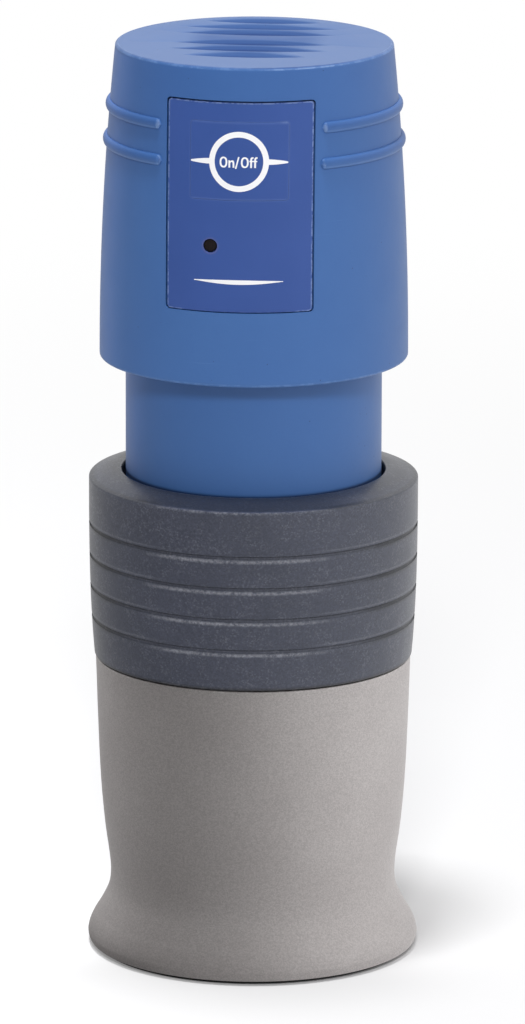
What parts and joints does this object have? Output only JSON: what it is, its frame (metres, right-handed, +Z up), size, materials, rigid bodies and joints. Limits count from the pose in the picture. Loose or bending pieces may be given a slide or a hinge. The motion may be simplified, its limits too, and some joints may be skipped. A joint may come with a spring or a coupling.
{
  "type": "analytical mill",
  "caption": "Upright laboratory mill: blue motor head with front key, slim neck in a grooved dark collar, waisted grey base, beater over a beaker inside.",
  "frame": {"origin": "on the table, at the middle of the foot", "axes": "+Z up along the motor shaft, -Y towards the front panel, +X to the right seen from the front"},
  "size_m": [0.0862, 0.0862, 0.2386],
  "materials": {
    "base_paint": "silver-grey metallic paint, fine speckle",
    "collar_plastic": "dark slate grey, finely textured",
    "head_plastic": "mid blue, satin",
    "panel_foil": "darker blue, satin",
    "black_plastic": "matte",
    "rubber": "matte",
    "steel": "turned",
    "cast_aluminium": "die cast",
    "hard_steel": "ground",
    "brass": "satin",
    "copper": "lacquered copper wire",
    "carbon": "sintered",
    "board_laminate": "satin",
    "capacitor_case": "gloss",
    "dark_lens": "gloss"
  },
  "bodies": {
    "base": {"base_shell": "base_paint", "base_plate": "black_plastic", "foot_ring": "rubber", "base_screw_1": "steel", "base_screw_2": "steel", "base_screw_3": "steel", "grip_collar": "collar_plastic", "beaker_holder": "black_plastic"},
    "beaker": {"milling_beaker": "steel", "beaker_floor": "hard_steel"},
    "drive": {"head_housing": "head_plastic", "front_panel": "panel_foil", "status_light": "dark_lens", "neck_housing": "head_plastic", "vent_ring": "black_plastic", "cable_gland": "rubber", "control_board": "board_laminate", "board_screw_1": "steel", "board_screw_2": "steel", "board_screw_3": "steel", "board_screw_4": "steel", "key_switch": "black_plastic", "suppression_capacitor": "capacitor_case", "power_triac": "black_plastic", "terminal_block": "black_plastic", "chamber_lid": "steel", "lid_seal": "rubber", "shaft_seal": "rubber", "lid_screw_1": "steel", "lid_screw_2": "steel", "lid_screw_3": "steel", "motor_bracket_lower": "cast_aluminium", "bearing_lower": "steel", "motor_bracket_upper": "black_plastic", "bearing_upper": "steel", "motor_mount_ring": "rubber", "tie_screw_front": "steel", "tie_screw_rear": "steel", "field_core": "hard_steel", "field_coil_right": "copper", "field_coil_left": "copper", "brush_holder_right": "brass", "brush_holder_left": "brass", "carbon_brush_right": "carbon", "carbon_brush_left": "carbon", "brush_spring_right": "steel", "brush_spring_left": "steel", "interlock_switch": "black_plastic", "interlock_spring": "steel"},
    "rotor": {"rotor_shaft": "steel", "cooling_fan": "black_plastic", "armature_core": "hard_steel", "armature_winding": "copper", "commutator": "copper", "beater": "hard_steel", "beater_nut": "steel"},
    "on_off_key": {"on_off_key": "panel_foil"},
    "interlock_pin": {"interlock_pin": "steel"}
  },
  "joints": [
    {"name": "beaker_lift", "type": "slide", "parent": "base", "child": "beaker", "axis": [0, 0, 1], "range_m": [0, 0.1]},
    {"name": "drive_lift", "type": "slide", "parent": "beaker", "child": "drive", "axis": [0, 0, 1], "range_m": [0, 0.07]},
    {"name": "rotor_spin", "type": "hinge", "parent": "drive", "child": "rotor", "pos_m": [0, 0, 0.1314], "axis": [0, 0, 1], "continuous": true},
    {"name": "key_press", "type": "slide", "parent": "drive", "child": "on_off_key", "axis": [0, 1, 0], "range_m": [0, 0.0005], "stiffness_N_per_m": 800},
    {"name": "pin_drop", "type": "slide", "parent": "drive", "child": "interlock_pin", "axis": [0, 0, 1], "range_m": [-0.0028, 0], "deforming": ["interlock_spring"]}
  ],
  "couplings": [
    {"joint": "pin_drop", "follows": "drive_lift", "ratio": -0.04}
  ]
}
